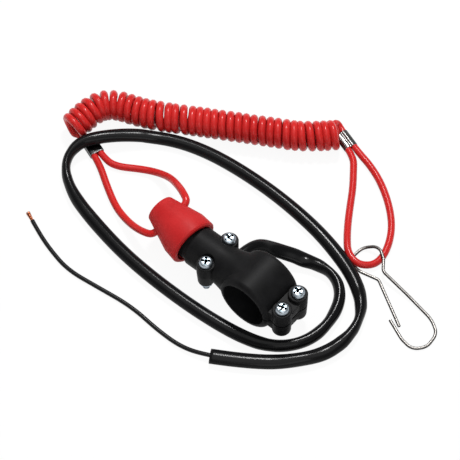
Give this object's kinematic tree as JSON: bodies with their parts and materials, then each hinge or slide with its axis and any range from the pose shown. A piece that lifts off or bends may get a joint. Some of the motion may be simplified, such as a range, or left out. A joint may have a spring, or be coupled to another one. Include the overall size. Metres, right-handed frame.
{
  "type": "engine kill switch with lanyard",
  "caption": "Handlebar kill switch with a clamp collar, a pull-off red cap on its neck, a coiled lanyard with crimped loops and a snap hook, and a sleeved lead.",
  "frame": {"origin": "centre of the handlebar bore", "axes": "+X along the body from the cap to the clamp screws, +Y along the handlebar to the side where the lead leaves, +Z square to the split between the two halves"},
  "size_m": [0.204, 0.1421, 0.0278],
  "materials": {
    "black_plastic": "satin",
    "red_rubber": "matte",
    "red_cord": "gloss",
    "black_sleeve": "gloss",
    "wire_jacket": "satin",
    "zinc_steel": "bright",
    "spring_steel": "bright",
    "nickel": "bright",
    "brass": "satin",
    "copper": "satin",
    "plunger_plastic": "satin",
    "insulator": "satin"
  },
  "bodies": {
    "housing": {"bare_copper": "copper", "cable_sleeve": "black_sleeve", "cap_ferrule": "nickel", "cap_loop": "red_cord", "clamp_nuts": "zinc_steel", "clamp_screws": "zinc_steel", "contact_base": "insulator", "ground_strip": "brass", "hook_ferrule": "nickel", "hook_loop": "red_cord", "housing_lower": "black_plastic", "housing_nuts": "zinc_steel", "housing_screws": "zinc_steel", "housing_upper": "black_plastic", "lanyard_coil": "red_cord", "plunger_spring": "spring_steel", "signal_wire": "wire_jacket", "snap_hook": "nickel", "terminal_signal": "brass"},
    "plunger": {"plunger": "plunger_plastic", "contact_disc": "brass"},
    "cap": {"tether_cap": "red_rubber"}
  },
  "joints": [
    {"name": "cap_pull", "type": "slide", "parent": "housing", "child": "cap", "axis": [-1, 0, 0], "range_m": [0, 0.02], "deforming": ["cap_loop"]},
    {"name": "plunger_pop", "type": "slide", "parent": "housing", "child": "plunger", "axis": [-1, 0, 0], "range_m": [0, 0.003], "deforming": ["plunger_spring"]}
  ],
  "couplings": [
    {"joint": "plunger_pop", "follows": "cap_pull", "ratio": 0.15}
  ]
}
